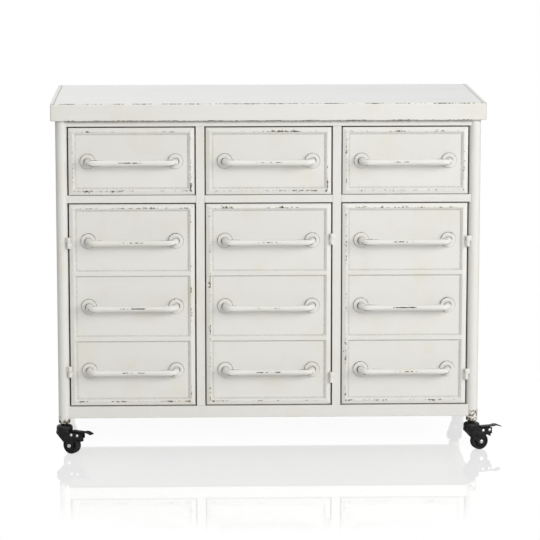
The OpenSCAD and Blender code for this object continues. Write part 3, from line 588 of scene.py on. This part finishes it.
# Every edge but the hem's inner ones
pick("EDGE", lambda c, d: abs(c.z - pan_low.z) > 1e-5 or abs(abs(c.x) - pan_high.x) < 1e-5
     or min(abs(c.y - pan_low.y), abs(c.y - pan_high.y)) < 1e-5)
bpy.ops.mesh.bevel(offset=TOP_ROUND, segments=4, affect="EDGES")
cut_across("X", (-rebate_x - STEP, -rebate_x, -rebate_x + JOINT_REACH,
                 rebate_x - JOINT_REACH, rebate_x, rebate_x + STEP))
cut_across("Y", (pan_low.y + WEAR_REACH, pan_high.y - WEAR_REACH))
cut_across("Z", (pan_low.z + WEAR_REACH, pan_high.z - WEAR_REACH))
pick("VERT", lambda p, n: p.z > pan_high.z - TOP_ROUND - 1e-5 and abs(p.x) > rebate_x + STEP / 2)
bpy.ops.transform.translate(value=(0, 0, -strip_t))
close_edit(is_open=True)
modify(top, "SOLIDIFY", thickness=TOP_SHEET, offset=-1, use_even_offset=True)


def top_wear(p):
    """Strong along the upper and lower edge of the front fold, weaker on the back and nothing inside."""
    near = min(abs(p.z - pan_high.z), abs(p.z - pan_low.z))
    share = 1.16 if p.z > pan_low.z + WEAR_REACH else 1.12
    front_edge = share - math.hypot(p.y - pan_low.y, near) / WEAR_REACH
    back_edge = 0.95 - math.hypot(p.y - pan_high.y, near) / WEAR_REACH
    return max(front_edge, back_edge)


def joint_dirt(p):
    """1 on the rebate's step beside each edging strip, down to 1 mm below the upper face."""
    return 1.0 if abs(abs(p.x) - rebate_x) < 2 * STEP and p.z > pan_high.z - 0.001 else 0.0


mark(top, "wear", top_wear)
mark(top, "dirt_and_shade", joint_dirt)
dress(top, outer_enamel, "cabinet", "paint", "top_panel")

# The top's upper face is painted a lighter, cooler white than the rest of the enamel, as painted light from
# above
top_face_lit_enamel = worn_enamel("top_face_painted_light_enamel", "e6e6e5", "dfdfdc", 2.145)
top.data.materials.append(top_face_lit_enamel)
for face in top.data.polygons:
    face.material_index = int(face.normal.z > 0.9 and face.center.z > pan_high.z - TOP_ROUND)


# Edging strips: 0.8 mm steel angle over the left and right edge of the top, flush in the rebates, so that a
# fine dark joint shows beside each one. Painted with the top.
JOINT_W = 0.0005
STRIP_ROUND = 0.0003
strip_x = rebate_x + JOINT_W
strips = []
for turn in (-1, 1):
    x0, x1 = sorted((turn * strip_x, turn * strip_high.x))
    skin = turn * (strip_high.x - strip_t)
    strip = block("strip", (x0, strip_low.y, strip_high.z - strip_t), (x1, strip_high.y, strip_high.z))
    edit(strip)
    cut_across("X", (skin, turn * (strip_x + JOINT_REACH)))
    pick("FACE", lambda c, n: n.z < -0.9 and abs(c.x) > abs(skin))
    bpy.ops.mesh.extrude_region_move(
        TRANSFORM_OT_translate={"value": (0, 0, strip_low.z - strip_high.z + strip_t)})
    cut_across("Y", (strip_low.y + WEAR_REACH, strip_high.y - WEAR_REACH))
    cut_across("Z", (strip_low.z + WEAR_REACH, strip_high.z - WEAR_REACH))
    close_edit()
    round_edges(strip, STRIP_ROUND, segments=2)
    strips.append(strip)
strips = join(strips, "top_edging_strips")
mark(strips, "wear", edge_wear(strip_low, strip_high, WEAR_REACH, 0.85))
mark(strips, "dirt_and_shade", lambda p: 1 - (abs(p.x) - strip_x) / JOINT_REACH)
dress(strips, outer_enamel, "cabinet", "paint", "top_edge_strips")


# Drawer trays and door linings: 1 mm sheet, folded and spot-welded, painted like the inner sheets. They stay
# as the CAD made them.
for column in ("left", "middle", "right"):
    refinish(column + "_drawer_tray", inner_enamel)
    refinish(column + "_door_lining", inner_enamel)


# Pressed fronts: one sheet of 1.2 mm steel each, with a raised border, sunk fields and, on the doors, two
# ribs between the fields, so that a door looks like three drawers. Chips follow the border's crest, and
# painted shade darkens the creases and the sheet's sides in the gaps.
# Across a border, from the sheet's edge inwards: slope up to the crest, flat crest, slope down to the field
CREST_IN = 0.009
LAND = 0.0008
SLOPE = 0.0062
BORDER = CREST_IN + LAND + SLOPE
# How far the sheet's edge and the fields lie behind the crest
EDGE_DROP = 0.003
FIELD_DROP = 0.004
RIB = 0.0147
RIB_SLOPE = 0.0033
LOW_FIELD = 0.96
PRESS_ROUND = 0.0008
FRONT_SHEET = 0.0012
# An edge loop this far inside each field keeps the crease's painted shade at its rim
FIELD_LOOP = 0.002
# Painted shade in a crease and wear on the sheet's edge end this far from them
CREASE_REACH = 0.003
EDGE_REACH = 0.003


def ring_distance(p, x0, x1, z0, z1):
    """Distance in the front plane from an upright rectangle's outline."""
    dx = abs(p.x - (x0 + x1) / 2) - (x1 - x0) / 2
    dz = abs(p.z - (z0 + z1) / 2) - (z1 - z0) / 2
    if dx > 0 or dz > 0:
        return math.hypot(max(dx, 0), max(dz, 0))
    return -max(dx, dz)


def field_places(low, high, fields):
    """Lower and upper edge of each sunk field, from below; a door's lowest one is a little less tall."""
    shares = [1.0] if fields == 1 else [LOW_FIELD] + [1.0] * (fields - 1)
    whole = (high.z - low.z - 2 * BORDER - (fields - 1) * RIB) / sum(shares)
    foot = low.z + BORDER
    places = []
    for share in shares:
        places.append((foot, foot + share * whole))
        foot += share * whole + RIB
    return places


def pressed_front(name, node, fields, hinge_side=0):
    """Presses one front out of a flat block: border up, fields down, then the sheet's thickness behind. Hands
    hardly touch its hinge side, which is -1 on the left and 1 on the right."""
    low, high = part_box(node)
    mid = (low + high) / 2
    crest = low.y
    piece = block(name, (low.x, crest + EDGE_DROP, low.z), high)
    edit(piece)
    pick("FACE", lambda c, n: n.y > 0.9)
    bpy.ops.mesh.delete(type="FACE")
    pick("FACE", lambda c, n: n.y < -0.9)
    bpy.ops.mesh.inset(thickness=CREST_IN)
    bpy.ops.transform.translate(value=(0, -EDGE_DROP, 0))
    bpy.ops.mesh.inset(thickness=LAND)
    places = field_places(low, high, fields)
    rib_mids = [(a[1] + b[0]) / 2 for a, b in zip(places, places[1:])]
    half_top = RIB / 2 - RIB_SLOPE

    def inside(c, n):
        return n.y < -0.9 and abs(c.x - mid.x) < 0.01 and low.z + BORDER < c.z < high.z - BORDER

    for z in rib_mids:
        for cut in (z - half_top, z + half_top):
            pick("FACE", inside)
            bpy.ops.mesh.bisect(plane_co=(0, 0, cut), plane_no=(0, 0, 1))
    pick("FACE", lambda c, n: inside(c, n) and all(abs(c.z - z) > RIB for z in rib_mids))
    bpy.ops.mesh.inset(thickness=SLOPE, use_individual=True)
    bpy.ops.transform.translate(value=(0, FIELD_DROP, 0))
    # The slopes at a rib are steeper than the border's
    for z in rib_mids:
        for way in (-1, 1):
            foot = z + way * (half_top + SLOPE)
            pick("VERT", lambda p, n: abs(p.z - foot) < 1e-4 and p.y > crest + FIELD_DROP / 2)
            bpy.ops.transform.translate(value=(0, 0, -way * (SLOPE - RIB_SLOPE)))
    pick("FACE", lambda c, n: inside(c, n) and c.y > crest + FIELD_DROP / 2)
    bpy.ops.mesh.inset(thickness=FIELD_LOOP, use_individual=True)
    cut_across("X", (low.x + BORDER, high.x - BORDER))
    close_edit(is_open=True)
    modify(piece, "SOLIDIFY", thickness=FRONT_SHEET, offset=-1, use_even_offset=True)
    round_edges(piece, PRESS_ROUND, over_deg=12)

    def wear(p):
        """Along the border's crest, less beside the hinges, and a little along the sheet's edge."""
        line = CREST_IN + LAND / 2
        share = 0.7 if hinge_side * (p.x - mid.x) > mid.x - low.x - BORDER + 0.0001 else 0.975
        from_crest = ring_distance(p, low.x + line, high.x - line, low.z + line, high.z - line)
        on_crest = share - from_crest / WEAR_REACH
        on_edge = 0.7 - ring_distance(p, low.x, high.x, low.z, high.z) / EDGE_REACH
        return max(on_crest, on_edge) if p.y < crest + 0.005 else 0

    def dirt_and_shade(p):
        """Painted shade: 1 on the upright sides and the upper side of the sheet in the gaps, weak in the
        creases round the fields.
        """
        if p.y > crest + EDGE_DROP + 0.001 and min(p.x - low.x, high.x - p.x, high.z - p.z) < 0.002:
            return 1.0
        nearest = min(abs(ring_distance(p, low.x + BORDER, high.x - BORDER, z0, z1)) for z0, z1 in places)
        return 0.36 - nearest / CREASE_REACH if p.y > crest + FIELD_DROP / 2 else 0

    mark(piece, "wear", wear)
    mark(piece, "dirt_and_shade", dirt_and_shade)
    return piece


for column, hinge_side in (("left", -1), ("middle", 1), ("right", 1)):
    dress(pressed_front(column + "_drawer_pressing", column + "_drawer_front", 1), outer_enamel,
          column + "_drawer", "paint", column + "_drawer_front")
    dress(pressed_front(column + "_door_pressing", column + "_door_skin", 3, hinge_side), outer_enamel,
          column + "_door", "paint", column + "_door_skin")


# Pull handles: a cast bow that thins towards its middle, on two ringed rosettes, screwed on from behind and
# painted with the front. The bar's middle is rubbed by hands; painted shade darkens the rosettes' grooves and
# feet.
HANDLE_SPAN = 0.202
LEG_R = 0.00725
MIDDLE_R = 0.006
REACH = 0.036
BEND = 0.016
# The legs start this far in front of the field, inside their rosettes
LEG_ROOT = 0.002
ROSETTE_R = 0.017
GROOVE_R = 0.0082
# A skirt 0.9 mm wide round each rosette's foot, painted dark as shade
SKIRT_W = 0.0009
# Hands rub the bar fully up to RUBBED from its middle, and less and less over the next RUB_FADE
RUBBED = 0.024
RUB_FADE = 0.022

field_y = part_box("left_drawer_front")[0].y + FIELD_DROP
leg_x = -HANDLE_SPAN / 2
rosette = turned("rosette", (leg_x, field_y, 0), "Y",
                 [(0, ROSETTE_R + SKIRT_W), (-0.0002, ROSETTE_R + SKIRT_W), (-0.0004, ROSETTE_R),
                  (-0.0040, ROSETTE_R), (-0.0045, 0.01687), (-0.0049, 0.0165), (-0.0050, 0.0160),
                  (-0.0049, 0.0125), (-0.0050, 0.0092), (-0.0048, 0.0087), (-0.0043, 0.0084),
                  (-0.0025, GROOVE_R), (-0.0025, 0.0070)], sides=48)
bpy.ops.object.select_all(action="DESELECT")
bpy.ops.mesh.primitive_circle_add(vertices=32, radius=LEG_R, fill_type="NOTHING",
                                  location=(leg_x, field_y - LEG_ROOT, 0), rotation=(math.pi / 2, 0, 0))
bow = bpy.context.object
bpy.ops.object.transform_apply(location=True, rotation=True, scale=True)
edit(bow)
bpy.ops.mesh.select_all(action="SELECT")
bpy.ops.mesh.edge_face_add()
bpy.ops.mesh.select_mode(type="EDGE")
bpy.ops.mesh.extrude_edges_move(TRANSFORM_OT_translate={"value": (0, LEG_ROOT - (REACH - BEND), 0)})
bend_centre = (leg_x + BEND, field_y - REACH + BEND, 0)
bpy.ops.mesh.spin(steps=8, angle=-math.pi / 2, center=bend_centre, axis=(0, 0, 1))
half_bar = HANDLE_SPAN / 2 - BEND
steps = 12
radius_now = LEG_R
for i in range(steps):
    share = (i + 1) / steps
    bpy.ops.mesh.extrude_edges_move(TRANSFORM_OT_translate={"value": (half_bar / steps, 0, 0)})
    radius_next = LEG_R + (MIDDLE_R - LEG_R) * math.sin(share * math.pi / 2)
    grow = radius_next / radius_now
    ring = (leg_x + BEND + half_bar * share, field_y - REACH, 0)
    bpy.ops.transform.resize(value=(1, grow, grow), center_override=ring)
    radius_now = radius_next
close_edit(60)
handle = join([bow, rosette], "handle")
modify(handle, "MIRROR", smooth_deg=60, use_axis=(True, False, False), merge_threshold=1e-5)
# The mirror's seam is merged and the faces turned outwards
edit(handle)
close_edit(60)


def handle_wear(p):
    """Rubbed along the very front of the bar's middle, and on the upper half of each rosette's rim."""
    out = math.hypot(abs(p.x) - HANDLE_SPAN / 2, p.z)
    if p.y > field_y - 0.0046:
        return 0.9 if out > ROSETTE_R - 0.0008 and p.z > 0 else 0.0
    along = 1.0 - max(0.0, abs(p.x) - RUBBED) / RUB_FADE
    turned_away = math.atan2(abs(p.z - 0.0012), field_y - REACH - p.y)
    return 1.25 * along * (1.0 - turned_away / 0.75) if p.y < field_y - REACH else 0.0


def handle_shade(p):
    """Painted shade in the groove of each rosette on its outer side, and along the rosette's foot."""
    out = math.hypot(abs(p.x) - HANDLE_SPAN / 2, p.z)
    outer_side = (abs(p.x) - HANDLE_SPAN / 2) / max(out, 0.001)
    if out > ROSETTE_R - 0.001:
        return 1.0 if p.y > field_y - 0.001 else 0.0
    return outer_side if out < GROOVE_R + 0.0007 and p.y > field_y - 0.0052 else 0.0


mark(handle, "wear", handle_wear)
# Painted shade in the rosettes' grooves and round their feet
mark(handle, "dirt_and_shade", handle_shade)


def placed(piece, name, matrix):
    """A copy of a piece with its own mesh, moved by a matrix that goes into the mesh."""
    copy = piece.copy()
    copy.data = piece.data.copy()
    copy.data.transform(matrix)
    copy.name = name
    bpy.context.scene.collection.objects.link(copy)
    return copy


for column in ("left", "middle", "right"):
    low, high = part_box(column + "_drawer_front")
    x = (low.x + high.x) / 2
    pull = placed(handle, column + "_drawer_bow", Matrix.Translation((x, 0, (low.z + high.z) / 2)))
    dress(pull, outer_enamel, column + "_drawer", "paint", column + "_drawer_handle")
    low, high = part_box(column + "_door_skin")
    for word, (z0, z1) in zip(("lower", "middle", "upper"), field_places(low, high, 3)):
        pull = placed(handle, f"{column}_door_bow_{word}", Matrix.Translation((x, 0, (z0 + z1) / 2)))
        dress(pull, outer_enamel, column + "_door", "paint", column + "_door_handles")
bpy.data.objects.remove(handle)


# Hinges: turned steel knuckles on 5 mm pins, one knuckle welded to the post or divider and one to the door,
# and painted over with the edges softly rounded.
KNUCKLE_ROUND = 0.0004


def bench_copy(node, name, rounding):
    """A copy of a CAD piece with its triangles joined and its sharp edges rounded."""
    piece = nodes[node].copy()
    piece.data = nodes[node].data.copy()
    for key in [k for k in piece.keys() if k.startswith("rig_")]:
        del piece[key]
    piece.parent = None
    piece.name = name
    bpy.context.scene.collection.objects.link(piece)
    edit(piece)
    bpy.ops.mesh.customdata_custom_splitnormals_clear()
    bpy.ops.mesh.select_all(action="SELECT")
    bpy.ops.mesh.remove_doubles(threshold=1e-6)
    bpy.ops.mesh.dissolve_limited(angle_limit=math.radians(0.5))
    bpy.ops.object.mode_set(mode="OBJECT")
    modify(piece, "BEVEL", width=rounding, segments=2, limit_method="ANGLE", angle_limit=math.radians(40),
           smooth_deg=40)
    return piece


knuckles = bench_copy("frame_knuckles", "frame_hinge_knuckles", KNUCKLE_ROUND)
dress(knuckles, outer_enamel, "cabinet", "paint", "frame_knuckles")
for column in ("left", "middle", "right"):
    dress(bench_copy(column + "_door_knuckles", column + "_door_hinge_knuckles", KNUCKLE_ROUND), outer_enamel,
          column + "_door", "paint", column + "_door_knuckles")


# Casters: a black zinc-plated stem in each post, a pressed fork with a domed head, black lacquered, a wheel
# with a rubber tread on a bright bolt, and on the two front ones a brake pedal on a rivet. The lacquer is
# half glossy, with the ripple of a sprayed coat, 1.2 mm across, and grey dust in patches of 12 mm.
black_lacquer, tree, output = new_material("black_lacquered_steel")
place = add(tree, "ShaderNodeTexCoord").outputs["Object"]
dust = add(tree, "ShaderNodeTexNoise", {"Vector": place, "Scale": 1 / 0.012, "Detail": 5.0,
                                        "Roughness": 0.65})
peel = add(tree, "ShaderNodeTexNoise", {"Vector": place, "Scale": 1 / 0.0012, "Detail": 1.0})
dusty = add(tree, "ShaderNodeMapRange", {"Value": dust.outputs["Fac"], "From Min": 0.5, "From Max": 0.75,
                                         "To Max": 0.35})
tone = blend(tree, dusty.outputs[0], colour("161617"), colour("3c3a37"))
rough = add(tree, "ShaderNodeMapRange", {"Value": dust.outputs["Fac"], "To Min": 0.25, "To Max": 0.5})
skin = add(tree, "ShaderNodeBump", {"Height": peel.outputs["Fac"], "Distance": 0.00005, "Strength": 0.5})
surface = add(tree, "ShaderNodeBsdfPrincipled", {"Base Color": tone, "Specular IOR Level": 0.22,
                                                 "Roughness": rough.outputs[0], "Normal": skin.outputs[0]})
tree.links.new(surface.outputs[0], output.inputs["Surface"])

# Rubber tread: dull near-black, greyed where it rolls, with a fine ground texture of 0.6 mm
tread_rubber, tree, output = new_material("black_rubber")
place = add(tree, "ShaderNodeTexCoord").outputs["Object"]
ground = add(tree, "ShaderNodeTexNoise", {"Vector": place, "Scale": 1 / 0.0006, "Detail": 2.0})
grey = add(tree, "ShaderNodeTexNoise", {"Vector": place, "Scale": 1 / 0.008, "Detail": 4.0})
tone = blend(tree, grey.outputs["Fac"], colour("121212"), colour("2e2d2c"))
rub = add(tree, "ShaderNodeBump", {"Height": ground.outputs["Fac"], "Distance": 0.00008, "Strength": 0.7})
surface = add(tree, "ShaderNodeBsdfPrincipled", {"Base Color": tone, "Roughness": 0.75,
                                                 "Specular IOR Level": 0.3, "Normal": rub.outputs[0]})
tree.links.new(surface.outputs[0], output.inputs["Surface"])

# Bright bolts and rivets: nickel-plated steel, mirror-like with fine turning marks
nickel, tree, output = new_material("nickel_plated_steel")
place = add(tree, "ShaderNodeTexCoord").outputs["Object"]
marks = add(tree, "ShaderNodeTexNoise", {"Vector": place, "Scale": 1 / 0.0015, "Detail": 3.0})
tone = blend(tree, marks.outputs["Fac"], colour("c4c5c8"), colour("dedfe0"))
rough = add(tree, "ShaderNodeMapRange", {"Value": marks.outputs["Fac"], "To Min": 0.18, "To Max": 0.38})
surface = add(tree, "ShaderNodeBsdfPrincipled", {"Base Color": tone, "Metallic": 1.0,
                                                 "Roughness": rough.outputs[0]})
tree.links.new(surface.outputs[0], output.inputs["Surface"])

refinish("caster_stems", plated_steel("black_zinc_plated_steel", "1e1f20", "2c2d2e"))
TRAIL = 0.020
WHEEL_R = 0.020
BORE_R = 0.0032
TREAD_R = 0.0166
PLATE_OUT = 0.012
# Where the shank of a bolt or rivet, in the fork's plates, grows to its full radius
SHANK_FULL = 0.011
SHOE_RIVET = TRAIL + 0.0053
PEDAL_RIVET = TRAIL + 0.0217
RIVET_Z = 0.046
FORK_ROUND = 0.0006
PEDAL_ROUND = 0.0007

# The wheel is made at a caster whose stem stands at the origin and whose wheel trails towards +X. From one
# end of its hub to the middle of its tread the profile passes the bore, the hub, the web, the rim and the
# tread.
half_wheel = [(-0.0098, BORE_R), (-0.0098, 0.0058), (-0.0092, 0.0064), (-0.0070, 0.0067), (-0.0070, 0.0153),
              (-0.0076, 0.0159), (-0.0088, 0.0160), (-0.0090, 0.0163), (-0.0090, 0.0172), (-0.0084, 0.0188),
              (-0.0073, 0.0197), (-0.0060, WHEEL_R)]
wheel = turned("wheel", (TRAIL, 0, WHEEL_R), "Y", half_wheel + [(-h, r) for h, r in reversed(half_wheel)],
               sides=48, caps=(False, False))
edit(wheel)
pick("EDGE", lambda c, d: abs(math.hypot(c.x - TRAIL, c.z - WHEEL_R) - BORE_R) < 1e-4)
bpy.ops.mesh.bridge_edge_loops()
close_edit()
wheel.data.materials.append(black_lacquer)
wheel.data.materials.append(tread_rubber)
for face in wheel.data.polygons:
    face.material_index = int(math.hypot(face.center.x - TRAIL, face.center.z - WHEEL_R) > TREAD_R)

# Bolt ends: a washer and a six-sided nut with a chamfer on one side, a round head with a recess on the other
nut = turned("nut", (TRAIL, PLATE_OUT, WHEEL_R), "Y", [(0.0004, 0.0042), (0.0007, 0.0047), (0.0024, 0.0047),
             (0.0028, 0.0042), (0.0028, 0.0030), (0.0030, 0.0027)], sides=6)
washer = turned("washer", (TRAIL, PLATE_OUT, WHEEL_R), "Y", [(0, 0.0048), (0.0006, 0.0048)], sides=32)
head = turned("head", (TRAIL, -PLATE_OUT, WHEEL_R), "Y",
              [(0, 0.0047), (-0.0018, 0.0047), (-0.0027, 0.0042), (-0.0030, 0.0033), (-0.0030, 0.0022),
               (-0.0018, 0.0020)], sides=32)
shank = turned("shank", (TRAIL, 0, WHEEL_R), "Y", [(-PLATE_OUT, 0.0029), (-SHANK_FULL, 0.003),
               (SHANK_FULL, 0.003), (PLATE_OUT, 0.0029)], sides=24)
axle = join([nut, washer, head, shank], "axle_bolt")


def rivet(x):
    """One domed rivet through both fork plates."""
    dome = [(0, 0.0035), (0.0006, 0.0034), (0.0012, 0.0028), (0.0016, 0.0018), (0.0018, 0.0006)]
    ends = [turned("dome", (x, way * PLATE_OUT, RIVET_Z), "Y", [(way * h, r) for h, r in dome], sides=24)
            for way in (-1, 1)]
    profile = [(-PLATE_OUT, 0.0019), (-SHANK_FULL, 0.002), (SHANK_FULL, 0.002), (PLATE_OUT, 0.0019)]
    body = turned("body", (x, 0, RIVET_Z), "Y", profile, sides=16)
    return join(ends + [body], "rivet")


rivets = join([rivet(SHOE_RIVET), rivet(PEDAL_RIVET)], "rivets")

for corner in ("front_left", "front_right", "rear_left", "rear_right"):
    roll = next(j for j in frame["joints"] if j["name"] == corner + "_wheel_roll")
    stem = next(j for j in frame["joints"] if j["name"] == corner + "_swivel_turn")
    turn = math.atan2(-roll["axis"][0], roll["axis"][1])
    stand = Matrix.Translation((stem["pos_m"][0], stem["pos_m"][1], 0)) @ Matrix.Rotation(turn, 4, "Z")
    fork = bench_copy(corner + "_fork", corner + "_fork_pressing", FORK_ROUND)
    dress(fork, black_lacquer, corner + "_swivel", "caster_black", corner + "_fork")
    made = placed(wheel, corner + "_wheel_and_tread", stand)
    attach(made, corner + "_roller")
    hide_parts(corner + "_wheel")
    dress(placed(axle, corner + "_axle_bolt", stand), nickel, corner + "_swivel", "bolt", corner + "_pins")
    if corner.startswith("front"):
        dress(placed(rivets, corner + "_rivets", stand), nickel, corner + "_swivel", "bolt", corner + "_pins")
        dress(bench_copy(corner + "_pedal", corner + "_brake_pedal", PEDAL_ROUND), black_lacquer,
              corner + "_brake", "caster_black", corner + "_pedal")
for pattern in (wheel, axle, rivets):
    bpy.data.objects.remove(pattern)

# The lowest and highest corners of everything shown, without the floor
low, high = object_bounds()
